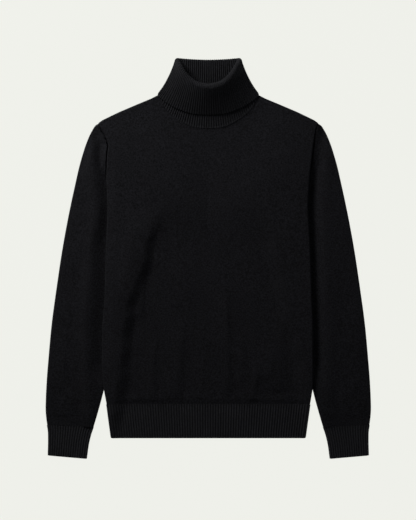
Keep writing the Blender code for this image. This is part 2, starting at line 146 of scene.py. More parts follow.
# y, how high the body rides over a sleeve
RIDE_HEIGHTS = (
    (-400.0, 8.9),
    (150.0, 8.9),
    (200.0, 7.9),
    (244.0, 6.6),
    (256.0, 6.2),
    (268.0, 5.9),
)
# The slope up to where the body rides over a sleeve, from the sleeve's hidden edge inwards
# y, distance to the slope's middle and its width at -X, the same at +X
RIDE_SLOPES = (
    (-400.0, 40.0, 38.0, 34.0, 49.0),
    (-330.0, 38.5, 35.0, 28.0, 42.0),
    (-265.0, 37.0, 31.0, 20.0, 38.0),
    (-205.0, 28.5, 27.0, 12.0, 31.0),
    (-145.0, 19.0, 24.0, 19.0, 32.0),
    (-96.0, 11.0, 24.0, 17.0, 31.0),
    (-52.0, 11.5, 24.0, 12.5, 31.0),
    (-26.0, 18.0, 24.0, 11.7, 32.0),
    (36.0, 10.0, 22.0, 12.0, 38.0),
    (110.0, 13.0, 32.0, 14.0, 44.0),
)
# The slope wanders sideways by this much, and y over this gives the angle of its wave
SLOPE_WANDER = 1.2
SLOPE_WAVE = 9.5
# Towards the shoulders it turns into a long gentle slope: distance to its middle, and its width
LONG_SLOPE = (76.0, 140.0)
LONG_SLOPE_FROM = 10.0
LONG_SLOPE_TO = 110.0
# From just before the slope the cloth swells a little, at -X and at +X, and less near its edge
SWELL = (5.6, 0.8)
SWELL_LEAD = 8.0
SWELL_WIDTH = 50.0
SWELL_EDGE = 60.0
# At its edge the body sinks again into the sleeve, as a share of the ride height, at -X and at +X
EDGE_SINK = (0.3, 0.0)
EDGE_SINK_WIDTH = 18.0
EDGE_SINK_FROM = 230.0
EDGE_SINK_TO = 160.0

# Collar: sections from the middle of the front (0) round the right side to the middle of the back (1)
# share, seam x y z, roll centre x y z, roll radius, free edge x y z, knee, fold-over's bulge
COLLAR_ROWS = (
    (0.00, 0.0, 258.2, 5.2, 0.0, 337.4, 34.6, 6.6, 0.0, 285.0, 12.2, 3.0, -1.4),
    (0.14, 30.6, 261.1, 5.2, 21.6, 341.8, 33.2, 6.4, 30.2, 286.8, 12.0, 3.0, -1.6),
    (0.26, 55.1, 272.3, 5.2, 36.6, 352.0, 31.4, 5.8, 55.6, 294.4, 11.4, 2.8, -2.0),
    (0.38, 75.5, 286.5, 5.2, 48.8, 366.4, 28.4, 5.0, 77.8, 305.2, 10.2, 2.0, -3.0),
    (0.47, 89.4, 302.8, 5.2, 56.7, 380.8, 23.6, 4.6, 94.2, 316.8, 8.6, 0.8, -4.2),
    (0.55, 96.5, 322.4, 4.3, 61.8, 391.4, 15.6, 4.1, 100.9, 325.6, 6.8, 0.6, -4.4),
    (0.62, 85.6, 320.6, 1.5, 57.0, 393.2, 7.6, 3.6, 90.6, 334.0, 1.8, 3.2, 1.2),
    (0.72, 62.0, 311.0, 1.3, 41.0, 392.4, 5.2, 3.3, 62.0, 334.0, 1.4, 2.4, 1.2),
    (0.86, 31.0, 306.4, 1.3, 21.0, 391.4, 4.5, 3.2, 30.0, 334.4, 1.4, 2.6, 1.2),
    (1.00, 0.0, 304.8, 1.3, 0.0, 391.0, 4.5, 3.1, 0.0, 334.4, 1.4, 2.6, 1.2),
)
COLLAR_RIBS = 82
# The ribs lie this much wider apart at the back, and the shares over which that changes
BACK_SPACING = 1.21
BACK_SPACED_FROM = 0.62
BACK_SPACED_TO = 0.72
# Inside the back they run straight up to the roll, from one share to another; the power says how early
STRAIGHT_FROM = 0.63
STRAIGHT_TO = 0.73
STRAIGHTENED = 2.5
# From the front to the back the ribs change faces at this share, over this spread
RIB_CHANGE = 0.62
RIB_CHANGE_SPREAD = 0.06
# At each side the stand is folded sharply: there the wall is thinner and has no ribs
SIDE_SHARE = 0.56
SIDE_THINNING = 0.8
THINNING_SPREAD = 0.06
PLAIN_FROM = 0.03
PLAIN_SPREAD = 0.04
# How much thinner the wall gets at the free edge, and from where on the fold-over
EDGE_THINNING = 0.4
EDGE_THIN_FROM = 0.7
EDGE_THIN_SPREAD = 0.3
# Where the roll is stretched flat at each side: its share, spread and how much of the rib goes
FLAT_SHARE = 0.49
FLAT_SPREAD = 0.07
FLATTENED = 0.7
# How much of the rib's height shows on the roll and down the fold-over
ROLL_RIB = 0.55
FOLD_RIB = 0.6
# The seam at the foot of the stand stands out by this much, this far up it and over this width
SEAM_BEAD = 1.2
BEAD_PLACE = 1.0
BEAD_WIDTH = 1.0
# The fold-over hangs in by this much at each side, at this share and over this spread
PINCH = 1.5
PINCH_SHARE = 0.56
PINCH_SPREAD = 0.09
# Makes place * place * (1 - place) reach 1 at its highest
PINCH_PEAK = 6.75
# Where no rib is raised, the material reads this much of a crest's brightness on the roll and on the
# fold-over, and it changes over this share of the fold-over: on the roll it is a painted highlight, and down
# the fold-over it is painted shade under the roll
ROLL_PAINTED_HIGHLIGHT = 0.9
FOLD_PAINTED_SHADE = 0.0
SHADE_CHANGE = 0.3
# The stand bends inwards: its depth is the knee times a quarter of this
STAND_BEND = 4.96

# Soft creases on the front: a line through three points, its half width and its height
# x1, y1, x2, y2, x3, y3, half width, height
FRONT_CREASES = (
    (-126.0, -24.0, -131.0, -62.0, -136.0, -126.0, 7.0, 2.5),
    (-104.0, -148.0, -109.0, -216.0, -110.0, -288.0, 7.0, 2.1),
    (-46.0, -110.0, -56.0, -200.0, -60.0, -288.0, 9.0, 2.3),
    (-6.0, -170.0, -12.0, -230.0, -15.0, -286.0, 7.0, 1.1),
    (32.0, 10.0, 38.0, -150.0, 38.0, -290.0, 8.0, 2.5),
    (70.0, -130.0, 66.0, -190.0, 62.0, -262.0, 12.0, 0.8),
    (107.0, -196.0, 96.0, -246.0, 86.0, -290.0, 6.0, 2.0),
    (132.0, -176.0, 128.0, -206.0, 124.0, -244.0, 7.0, 1.1),
    (148.0, -90.0, 146.0, -180.0, 138.0, -276.0, 14.0, 2.2),
    (-96.0, 140.0, -104.0, 60.0, -88.0, -20.0, 16.0, 0.9),
    (150.0, 296.0, 138.0, 262.0, 120.0, 232.0, 9.0, 0.6),
    (-30.0, 20.0, -44.0, -40.0, -40.0, -110.0, 18.0, 0.7),
    (84.0, 60.0, 96.0, -10.0, 92.0, -96.0, 20.0, 0.7),
)
# The same on the back
BACK_CREASES = (
    (-92.0, -150.0, -98.0, -220.0, -94.0, -286.0, 8.0, 0.9),
    (-40.0, -60.0, -46.0, -170.0, -42.0, -288.0, 9.0, 1.1),
    (22.0, -170.0, 18.0, -230.0, 20.0, -284.0, 7.0, 0.8),
    (74.0, -110.0, 80.0, -200.0, 78.0, -288.0, 9.0, 1.1),
    (126.0, -190.0, 120.0, -240.0, 116.0, -286.0, 7.0, 0.8),
    (-60.0, 210.0, -20.0, 190.0, 40.0, 204.0, 12.0, 0.7),
)
# The same along a sleeve: share of its length, then share of its width, for each of three points
# s1, w1, s2, w2, s3, w3, half width, height
SLEEVE_CREASES = (
    (0.16, 0.30, 0.30, 0.26, 0.46, 0.34, 9.0, 0.9),
    (0.36, 0.62, 0.50, 0.52, 0.64, 0.60, 10.0, 0.9),
    (0.58, 0.24, 0.72, 0.34, 0.88, 0.30, 9.0, 0.8),
    (0.84, 0.66, 0.90, 0.60, 0.965, 0.62, 8.0, 0.8),
    (0.86, 0.24, 0.92, 0.28, 0.965, 0.30, 7.0, 0.6),
    (0.88, 0.46, 0.93, 0.45, 0.965, 0.46, 7.0, 0.5),
)


def smooth(value):
    """0 below 0, 1 above 1, and an even S between them."""
    value = np.clip(value, 0.0, 1.0)
    return value * value * (3.0 - 2.0 * value)


def read_table(rows, column, at, key=0):
    """The column's value where the key column is `at`, on straight lines between the rows."""
    table = np.array(sorted(rows, key=lambda row: row[key]))
    return np.interp(at, table[:, key], table[:, column])


def unit(vectors):
    return vectors / np.maximum(np.linalg.norm(vectors, axis=-1, keepdims=True), 1e-9)


def undulation(x, y, wavelength, seed):
    """A soft even swell between -1 and 1, the same on each run."""
    turn = 2.0 * np.pi / wavelength
    total = np.zeros(np.broadcast(x, y).shape)
    for step in range(5):
        angle = seed * 1.7 + step * 2.399
        stretch = 0.7 + 0.17 * step
        total = total + np.sin((x * np.cos(angle) + y * np.sin(angle)) * turn * stretch + seed + step * 1.3)
    return total / 5.0


def crease(x, y, row):
    """One soft ridge along a bent line, steeper on its left going along it."""
    ends = np.array(row[:6]).reshape(3, 2)
    width, height = row[6:8]
    spread = np.linspace(0.0, 1.0, 9)[:, None]
    line = (1 - spread) ** 2 * ends[0] + 2 * spread * (1 - spread) * (2 * ends[1] - (ends[0] + ends[2]) / 2)
    line = line + spread**2 * ends[2]
    point = np.stack([x, y], axis=-1)
    nearest = np.full(np.shape(x), 1e9)
    place = np.zeros(np.shape(x))
    steep = np.zeros(np.shape(x), bool)
    for number, (start, end) in enumerate(zip(line[:-1], line[1:])):
        along = end - start
        offset = point - start
        share = np.clip((offset @ along) / (along @ along), 0.0, 1.0)
        away = np.linalg.norm(offset - share[..., None] * along, axis=-1)
        closer = away < nearest
        nearest = np.where(closer, away, nearest)
        place = np.where(closer, (number + share) / (len(line) - 1), place)
        steep = np.where(closer, along[0] * offset[..., 1] > along[1] * offset[..., 0], steep)
    strength = smooth(place / 0.45) * smooth((1.0 - place) / 0.12)
    local = width * (0.8 + 0.5 * place) * np.where(steep, 0.7, 1.8)
    return height * strength * np.exp(-((nearest / local) ** 2))


def round_rim(distance, half):
    """Half the wall's thickness near a rim, where the cloth's edge rounds off."""
    near = np.clip(distance / half, 0.0, 1.0)
    return half * np.maximum(np.sqrt(1.0 - (1.0 - near) ** 2), 0.12)


def rib_profile(columns, steps):
    """1 on a rib's crest and 0 in the valley, round and full."""
    wave = 0.5 + 0.5 * np.cos(2.0 * np.pi * np.arange(columns) / steps)
    return wave**0.75


def grid_quads(rows, columns, start, wraps):
    low = np.arange(rows - 1)[:, None] * columns + start
    across = np.arange(columns if wraps else columns - 1)[None, :]
    beside = (across + 1) % columns
    quads = np.stack([low + across, low + beside, low + beside + columns, low + across + columns], axis=-1)
    return quads.reshape(-1, 4)


def shell(name, outer, inner, knit, wraps, material):
    """A closed thin shell from an outer and an inner grid; knit holds what the material reads."""
    rows, columns = outer.shape[:2]
    count = rows * columns
    points = np.concatenate([outer.reshape(-1, 3), inner.reshape(-1, 3)]) * MILLIMETRE
    front = grid_quads(rows, columns, 0, wraps)
    back = grid_quads(rows, columns, count, wraps)[:, ::-1]
    across = np.arange(columns + 1) % columns if wraps else np.arange(columns)
    rims = []
    for row in (0, rows - 1):
        line = row * columns + across
        rim = np.stack([line[:-1], line[1:], line[1:] + count, line[:-1] + count], axis=-1)
        rims.append(rim[:, ::-1] if row == 0 else rim)
    if not wraps:
        for column in (0, columns - 1):
            line = np.arange(rows) * columns + column
            rim = np.stack([line[:-1], line[1:], line[1:] + count, line[:-1] + count], axis=-1)
            rims.append(rim if column == 0 else rim[:, ::-1])
    faces = np.concatenate([front, back] + [rim[:, ::-1] for rim in rims])
    corner = points[faces]
    volume = np.einsum("ij,ij->i", corner[:, 0], np.cross(corner[:, 1], corner[:, 2])).sum()
    volume += np.einsum("ij,ij->i", corner[:, 0], np.cross(corner[:, 2], corner[:, 3])).sum()
    if volume < 0.0:
        faces = faces[:, ::-1]
    mesh = bpy.data.meshes.new(name)
    mesh.from_pydata(points.tolist(), [], faces.tolist())
    mesh.shade_smooth()
    mesh.set_sharp_from_angle(angle=np.radians(60.0))
    values = np.concatenate([knit.reshape(-1, 3), knit.reshape(-1, 3)]).astype(np.float32)
    mesh.attributes.new("knit", "FLOAT_VECTOR", "POINT").data.foreach_set("vector", values.ravel())
    mesh.materials.append(material)
    piece = bpy.data.objects.new(name, mesh)
    bpy.context.scene.collection.objects.link(piece)
    return piece


# Body ----------------------------------------------------------------------------------------


def sleeve_rim():
    rim = [(row[2], row[3]) for row in SLEEVE_ROWS + CUFF_ROWS]
    rim.insert(0, SLEEVE_ROWS[0][:2])
    return np.array(rim)


def ride_height(x, y):
    """How far the sleeve beneath lifts the body at a point."""
    rim = sleeve_rim()
    point = np.stack([-np.abs(x), y], axis=-1)
    nearest = np.full(np.shape(x), 1e9)
    for start, end in zip(rim[:-1], rim[1:]):
        along = end - start
        share = np.clip(((point - start) @ along) / (along @ along), 0.0, 1.0)
        away = np.linalg.norm(point - start - share[..., None] * along, axis=-1)
        nearest = np.minimum(nearest, away)
    rim_x = np.interp(y, rim[::-1, 1], rim[::-1, 0])
    inside = np.where(point[..., 0] < rim_x, nearest, -nearest)
    left = x < 0.0
    centre = np.where(left, read_table(RIDE_SLOPES, 1, y), read_table(RIDE_SLOPES, 3, y))
    centre = centre + SLOPE_WANDER * np.sin(y / SLOPE_WAVE + 2.0)
    width = np.where(left, read_table(RIDE_SLOPES, 2, y), read_table(RIDE_SLOPES, 4, y))
    rise = smooth((inside + centre) / width + 0.5)
    gentle = smooth((inside + LONG_SLOPE[0]) / LONG_SLOPE[1] + 0.5)
    share = smooth((y - LONG_SLOPE_FROM) / (LONG_SLOPE_TO - LONG_SLOPE_FROM))
    height = read_table(RIDE_HEIGHTS, 1, y) * (rise * (1.0 - share) + gentle * share)
    swell = smooth((inside + centre + SWELL_LEAD) / SWELL_WIDTH) * (1.0 - share)
    gap = np.minimum(x - read_table(BODY_SIDES, 1, y), read_table(BODY_SIDES, 2, y) - x)
    sink = 1.0 - smooth(gap / EDGE_SINK_WIDTH)
    sink = sink * smooth((EDGE_SINK_FROM - y) / (EDGE_SINK_FROM - EDGE_SINK_TO))
    swell = swell * smooth(gap / SWELL_EDGE) * np.where(left, *SWELL)
    return height * (1.0 - sink * np.where(left, *EDGE_SINK)) + swell


def roll_radius():
    return (WALL + PANEL_GAP) / 2.0


def level_of(front):
    return WALL * 1.5 + PANEL_GAP if front else WALL * 0.5


def grid_slopes(x, y, height):
    """How steeply height rises along x and y on a bent grid."""
    x_down, x_over = np.gradient(x)
    y_down, y_over = np.gradient(y)
    height_down, height_over = np.gradient(height)
    area = x_over * y_down - x_down * y_over
    area = np.where(np.abs(area) < 1e-4, 1e-4, area)
    slope_x = (height_over * y_down - height_down * y_over) / area
    slope_y = (height_down * x_over - height_over * x_down) / area
    return np.clip(slope_x, -1.5, 1.5), np.clip(slope_y, -1.5, 1.5)


def body_sheet(x, y, edge, outward, front, relief):
    """The middle of a body panel's wall and its outward normals."""
    radius = roll_radius()
    side = 1.0 if front else -1.0
    height = ride_height(x, y) + relief
    slope_x, slope_y = grid_slopes(x, y, height)
    upward = unit(np.stack([-slope_x, -slope_y, np.ones_like(x)], axis=-1))
    turn = np.arcsin(np.clip(1.0 - edge / radius, 0.0, 1.0))
    turn = np.minimum(turn, np.arccos(SEAM_GAP / 2.0 / radius))
    level = level_of(front) + height
    middle = np.stack([x, y, level - side * radius * (1.0 - np.cos(turn))], axis=-1)
    climb = outward[..., 0] * slope_x + outward[..., 1] * slope_y
    beyond = np.concatenate([outward, climb[..., None]], axis=-1)
    normal = side * upward * np.cos(turn)[..., None] + beyond * np.sin(turn)[..., None]
    return middle, unit(normal)


def edge_spread(half, radius, count):
    """Places from -half to half, closer together where the cloth folds at each end."""
    edge = np.array([0.0, 0.08, 0.25, 0.5, 0.8, 1.0, 1.4, 2.0, 3.0]) * radius
    inner = np.linspace(-half + 4.2 * radius, half - 4.2 * radius, count)
    return np.concatenate([-half + edge, inner, (half - edge)[::-1]])


def body_piece(name, front, columns, rows, material):
    """The front or the back of the body, from the hem's seam to the shoulders and the neck."""
    radius = roll_radius()
    inset = WALL / 2.0
    half = HEM_TOP_HALF - inset
    across = (edge_spread(half, radius, columns) / half + 1.0) / 2.0
    corner_x = SHOULDER[0][0] - inset
    top_x = (across * 2.0 - 1.0) * corner_x
    neck_x = SHOULDER[-1][0]
    for sign in (-1.0, 1.0):
        top_x[np.argmin(np.abs(top_x - sign * neck_x))] = sign * neck_x
    on_neck = np.abs(top_x) < neck_x
    shoulder_y = read_table(SHOULDER, 1, np.abs(top_x)) - inset
    neck_y = read_table(NECK, 1 if front else 2, np.abs(top_x))
    top_y = np.where(on_neck, neck_y, shoulder_y)
    reach = top_y[0] - HEM_SEAM_Y
    near_top = np.array([13.0, 10.5, 8.4, 6.8, 5.4, 4.2, 3.3, 2.5, 1.8, 1.2, 0.7, 0.25, 0.0])
    near_foot = np.array([0.0, 0.5, 1.2, 2.2, 3.4])
    spread = np.linspace(5.0, reach - 16.0, rows)
    rise = np.concatenate([near_foot, spread, reach - near_top]) / reach
    share, up = np.meshgrid(across, rise)
    foot_y = HEM_SEAM_Y + SEAM_GAP / 2.0
    side_y = foot_y + up * (top_y[0] - foot_y)
    left_x = read_table(BODY_SIDES, 1, side_y) + inset
    right_x = read_table(BODY_SIDES, 2, side_y) - inset
    foot_x = (share * 2.0 - 1.0) * half
    corners = (share * 2.0 - 1.0) * (half * (1.0 - up) + corner_x * up)
    sides = (1.0 - share) * left_x + share * right_x
    x = (1.0 - up) * foot_x + up * top_x[None, :] + sides - corners
    y = foot_y + up * (top_y[None, :] - foot_y)
    slant = np.radians(SHOULDER_FALL)
    side_gap = np.minimum(x - left_x, right_x - x)
    top_gap = (top_y[None, :] - y) * np.cos(slant)
    beyond_neck = np.abs(top_x) - neck_x - FOLD_FADE_FROM
    past_neck = smooth(beyond_neck / (FOLD_FADE_TO - FOLD_FADE_FROM))[None, :]
    side_pull = np.clip(1.0 - side_gap / radius, 0.0, 1.0)
    top_pull = np.clip(1.0 - top_gap / radius, 0.0, 1.0) * past_neck
    sign = np.where(x < 0.0, -1.0, 1.0)
    pull = np.hypot(side_pull, top_pull)
    round_off = radius * (1.0 - 1.0 / np.maximum(pull, 1.0))
    x = x - sign * side_pull * round_off
    y = y - top_pull * round_off
    pull = np.minimum(pull, 1.0)
    out_x = sign * (side_pull + top_pull * np.sin(slant))
    out_y = top_pull * np.cos(slant)
    outward = np.stack([out_x, out_y], axis=-1)
    outward /= np.maximum(np.linalg.norm(outward, axis=-1, keepdims=True), 1e-6)
    neck_slope = np.gradient(top_y, top_x)
    neck_gap = (top_y[None, :] - y) / np.hypot(1.0, neck_slope)[None, :]
    foot_gap = y - foot_y
    fade = smooth((side_gap - 2.0) / 16.0) * smooth((top_gap - 3.0) / 14.0) * smooth(foot_gap / 9.0)
    relief = np.zeros_like(x)
    for row in FRONT_CREASES if front else BACK_CREASES:
        relief += crease(x, y, row)
    swell = 0.5 if front else 0.25
    relief += swell * undulation(x, y, 150.0, 1.0 if front else 4.0)
    relief += 0.28 * swell * undulation(x, y, 46.0, 2.0 if front else 5.0)
    if front:
        relief += 0.9 * np.exp(-(((foot_gap - 9.0) / 9.0) ** 2))
    else:
        relief = np.maximum(relief, 0.0)
    relief *= fade
    if front:
        relief += NECK_RISE * (1.0 - smooth(neck_gap / NECK_RISE_REACH)) * (1.0 - past_neck)
    middle, normal = body_sheet(x, y, radius * (1.0 - pull), outward, front, relief)
    rim = WALL / 2.0
    if front:
        rim = round_rim(np.where(past_neck < 0.5, neck_gap * NECK_RIM_HASTE, FAR), rim)
    half_wall = np.broadcast_to(rim, x.shape)[..., None]
    outer = middle + normal * half_wall
    inner = middle - normal * half_wall
    knit = np.stack([(share * 2.0 - 1.0) * half, y, np.ones_like(x)], axis=-1)
    return shell(name, outer, inner, knit, False, material)


def hem_piece(name, front, material):
    """The welt of the front or of the back, in one-by-one rib."""
    inset = WALL / 2.0
    steps = RIB_STEPS * HEM_RIBS
    across = np.arange(steps + 1) / steps
    height = HEM_SEAM_Y - HEM_END_Y
    near_seam = np.array([0.0, 0.4, 1.0, 2.0, 3.5])
    near_end = np.array([3.4, 2.2, 1.4, 0.8, 0.4, 0.15, 0.0])
    down = np.concatenate([near_seam, np.linspace(6.0, height - 5.0, 22), height - near_end])
    share, below = np.meshgrid(across, down)
    corner = np.clip(1.0 - (height - below) / HEM_CORNER_HEIGHT, 0.0, 1.0)
    half = HEM_TOP_HALF + (HEM_END_HALF - HEM_TOP_HALF) * below / height
    half = half - HEM_CORNER * (1.0 - np.sqrt(1.0 - corner**2)) - inset
    x = (share * 2.0 - 1.0) * half
    y = HEM_SEAM_Y - SEAM_GAP / 2.0 - below * (height - SEAM_GAP / 2.0) / height
    gap = half - np.abs(x)
    outward = np.stack([np.where(x < 0.0, -1.0, 1.0), np.zeros_like(x)], axis=-1)
    relief = 0.35 * undulation(x, y, 90.0, 7.0) * smooth((gap - 4.0) / 14.0) * smooth(below / 10.0)
    if not front:
        relief = np.maximum(relief, 0.0)
    middle, normal = body_sheet(x, y, gap, outward, front, relief)
    wave = rib_profile(steps + 1, RIB_STEPS)[None, :] * np.ones_like(x)
    crest = RIB_HEIGHT * wave - VALLEY_DEPTH * (1.0 - wave) if front else -UNDER_VALLEY * (1.0 - wave)
    half_wall = round_rim(height - below, WALL / 2.0)
    outer = middle + normal * (half_wall + crest * half_wall / (WALL / 2.0))[..., None]
    inner = middle - normal * half_wall[..., None]
    knit = np.stack([np.arange(steps + 1)[None, :] / RIB_STEPS + 0.0 * x, y, wave], axis=-1)
    return shell(name, outer, inner, knit, False, material)


# Sleeves -------------------------------------------------------------------------------------


def dense_rows(rows, places):
    """The table's rows at even lengths along the tube, with a smooth curve through them."""
    table = np.array(rows)
    middle = (table[:, :2] + table[:, 2:4]) / 2.0
    length = np.concatenate([[0.0], np.cumsum(np.linalg.norm(np.diff(middle, axis=0), axis=1))])
    at = places * length[-1]
    tangent = np.gradient(table, length, axis=0)
    index = np.clip(np.searchsorted(length, at, side="right") - 1, 0, len(length) - 2)
    span = (length[index + 1] - length[index])[:, None]
    part = ((at - length[index])[:, None]) / span
    square, cube = part**2, part**3
    result = (2 * cube - 3 * square + 1) * table[index]
    result += (cube - 2 * square + part) * span * tangent[index]
    result += (3 * square - 2 * cube) * table[index + 1]
    result += (cube - square) * span * tangent[index + 1]
    return result, at


def tube_points(row, around, relief):
    """One section of a flattened tube. around runs from 0 over the top to 1 and under to 2."""
    outer_x, outer_y, inner_x, inner_y, height = row
    start = np.array([outer_x, outer_y])
    along = np.array([inner_x, inner_y]) - start
    length = np.linalg.norm(along)
    along = along / length
    radius = height / 2.0
    flat = length - 2.0 * radius
    arc = np.pi * radius
    total = flat + arc
    reach = (around % 1.0) * total
    turn = np.where(reach > arc / 2 + flat, (reach - flat) / radius, np.pi / 2)
    turn = np.where(reach < arc / 2, reach / radius, turn)
    over = np.clip(reach - arc / 2, 0.0, flat)
    distance = radius - radius * np.cos(turn) + over
    rise = radius * np.sin(turn)
    out = -np.cos(turn)
    up = np.sin(turn)
    under = around >= 1.0
    distance = np.where(under, length - distance, distance)
    out = np.where(under, -out, out)
    top = np.where(under, -rise, rise)
    up = np.where(under, -up, up)
    z = radius + top + relief * np.clip(top / radius, 0.0, 1.0)
    points = np.empty((len(around), 3))
    points[:, :2] = start + distance[:, None] * along
    points[:, 2] = z
    return points, distance, out, up, along, length


def tube_piece(name, rows, side, places, around, relief_of, rib, rims, material):
    """A sleeve or a cuff: side is 1 at -X and -1 at +X."""
    sections, at = dense_rows(rows, places)
    middle = np.empty((len(places), len(around), 3))
    normal = np.empty_like(middle)
    knit = np.empty_like(middle)
    for number, row in enumerate(sections):
        length = np.hypot(row[2] - row[0], row[3] - row[1])
        relief = relief_of(number, around, length)
        points, distance, out, up, along, length = tube_points(row, around, relief)
        middle[number] = points
        normal[number, :, :2] = out[:, None] * along
        normal[number, :, 2] = up
        knit[number, :, 0] = np.where(around < 1.0, distance, -distance)
    down = np.gradient(middle, axis=0)
    over = np.roll(middle, -1, axis=1) - np.roll(middle, 1, axis=1)
    turned = unit(np.cross(over, down))
    turned *= np.sign((turned * normal).sum(axis=-1, keepdims=True) + 1e-9)
    knit[..., 1] = at[:, None]
    knit[..., 2] = 1.0
    rim_gap = at[-1] - at if rims else np.full(len(places), FAR)
    wall = round_rim(rim_gap, WALL / 2.0)[:, None] * 2.0 * np.ones((1, len(around)))
    crest = np.zeros_like(wall)
    if rib is not None:
        top = smooth((normal[..., 2] + 0.4) / 0.5)
        raised = RIB_HEIGHT * rib - VALLEY_DEPTH * (1.0 - rib)
        sunk = -UNDER_VALLEY * (1.0 - rib)
        crest = (raised * top + sunk * (1.0 - top)) * wall / WALL
        knit[..., 0] = np.arange(len(around)) / RIB_STEPS
        knit[..., 2] = rib
    outer = middle + turned * (crest + (wall - WALL) / 2.0)[..., None]
    inner = middle - turned * ((wall + WALL) / 2.0)[..., None]
    for grid in (outer, inner):
        grid[..., 2] = np.maximum(grid[..., 2], 0.0)
        grid[..., 0] *= side
    return shell(name, outer, inner, knit, True, material)


# A sleeve's upper face dips beside the body. Where there are two values they are for -X and for +X.
DIP = 4.6
# The dip leaves this much of the sleeve's height
DIP_CLEAR = 3.4
# It starts this far inside the crest, and is full this far outside the body's edge
DIP_REACH = (5.0, 4.0)
DIP_NEAR = (-2.0, 7.0)
# It begins above the cuff, from one y to another
DIP_FROM = -262.0
DIP_TO = -205.0
# Outside the dip it swells
CREST = (4.6, 2.4)
CREST_WIDTH = 14.0
# y, how far out from the body's edge it swells at -X and at +X
CREST_PLACES = (
    (-400.0, 34.0, 34.0),
    (15.0, 31.0, 34.0),
    (60.0, 26.0, 34.0),
    (103.0, 23.0, 34.0),
    (145.0, 27.0, 34.0),
    (195.0, 31.0, 34.0),
    (230.0, 35.0, 34.0),
)
# An even swell over all that shows of it, which is a little less at the cuff
CROWN = 1.2
CROWN_AT_CUFF = 0.7
CROWN_ABOVE = 0.3
# Above this y part of it is under the body, and at least this much shows
WRIST_Y = -255.0
LEAST_SHOWN = 24.0
# Higher up, where it's sewn to the body, it comes up again to the seam, from one y to another
SEWN_FROM = 150.0
SEWN_TO = (215.0, 216.0)
SEWN_REACH = 15.0
SEWN_LIFT = (6.4, 3.5)
# At the seam itself it stays down: distance from the body's edge, and over how much it comes up
SEWN_GROOVE = 0.2
SEWN_GROOVE_SPREAD = 1.1
# More is added from this y up
TOP_LIFT = 1.5
TOP_LIFT_FROM = 222.0
TOP_LIFT_SPREAD = 20.0
# How much of the dip is levelled there, out to the seam
SEWN_LEVEL = (0.0, 0.8)
# The creases' shares of the width are of this much of it
CREASE_SPAN = 0.8


def sleeve_relief(side):
    """How far a sleeve's upper face swells: it dips to the body's edge, and has soft creases."""
    sections, at = dense_rows(SLEEVE_ROWS, SLEEVE_PLACES)
    end = 0 if side > 0 else 1

    def relief(number, around, length):
        row = sections[number]
        distance = (around % 1.0) * length
        across = np.array([row[2] - row[0], row[3] - row[1]]) / length
        x = row[0] + distance * across[0]
        y = row[1] + distance * across[1]
        body_x = -np.abs(read_table(BODY_SIDES, 1 + end, y))
        beside = body_x - x
        shown = length
        if y.min() >= WRIST_Y:
            shown = distance[beside > 0.0].max(initial=LEAST_SHOWN)
        place = np.clip(distance / shown, 0.0, 1.0)
        crown = CROWN * np.sin(np.pi * place**0.85) ** 0.9
        crown *= smooth(distance / 14.0) * smooth((shown - distance) / 20.0)
        ridge = read_table(CREST_PLACES, 1 + end, y)
        reach = ridge - DIP_REACH[end]
        crown += CREST[end] * np.exp(-(((beside - ridge) / CREST_WIDTH) ** 2)) * smooth(distance / 24.0)
        sewn = smooth((y - SEWN_FROM) / (SEWN_TO[end] - SEWN_FROM))
        near = DIP_NEAR[end] * (1.0 - sewn) + SEWN_REACH * sewn
        depth = min(DIP, row[4] - DIP_CLEAR) * smooth((y - DIP_FROM) / (DIP_TO - DIP_FROM))
        inward = smooth((reach - beside) / (reach - near))
        dip = depth * inward * smooth(at[number] / 10.0)
        climb = smooth((SEWN_REACH - beside) / SEWN_REACH)
        climb *= smooth((beside - SEWN_GROOVE) / SEWN_GROOVE_SPREAD)
        lift = SEWN_LIFT[end] + TOP_LIFT * smooth((y - TOP_LIFT_FROM) / TOP_LIFT_SPREAD)
        dip -= sewn * (depth + lift) * climb
        dip += sewn * (SEWN_LEVEL[end] * depth * (climb - inward))
        ripple = np.zeros_like(distance)
        for crease_row in SLEEVE_CREASES:
            bent = np.array(crease_row)
            bent[0:6:2] *= at[-1]
            bent[1:6:2] *= length
            bent[1:6:2] *= CREASE_SPAN
            ripple += crease(np.full_like(distance, at[number]), distance, bent)
        ripple += 0.5 * undulation(distance, np.full_like(distance, at[number]), 95.0, 3.0 + side)
        ripple *= smooth(distance / 16.0) * smooth((shown - distance) / 16.0)
        low = smooth((at[-1] - at[number]) / 26.0)
        high = smooth((at[number] - 8.0) / 50.0)
        swell = (crown * (CROWN_AT_CUFF + CROWN_ABOVE * low) + ripple) * high
        return (swell - dip) * np.where(around < 1.0, 1.0, 0.0)

    return relief


SLEEVE_PLACES = np.concatenate([np.linspace(0.0, 0.985, 200), np.linspace(0.987, 1.0, 6)])
SLEEVE_AROUND = np.concatenate(
    [np.linspace(0.0, 1.0, 130, endpoint=False), np.linspace(1.0, 2.0, 60, endpoint=False)]
)
CUFF_END = np.array([0.045, 0.03, 0.018, 0.01, 0.004, 0.0])
CUFF_PLACES = np.concatenate([np.linspace(0.0, 0.94, 26), 1.0 - CUFF_END])


def cuff_relief(number, around, length):
    """How far a cuff's upper face swells; it's the same at each section, whatever its length."""
    swell = 0.6 * np.sin(np.pi * np.clip(around, 0.0, 1.0)) ** 0.7
    return swell * np.where(around < 1.0, 1.0, 0.0)


# Collar --------------------------------------------------------------------------------------


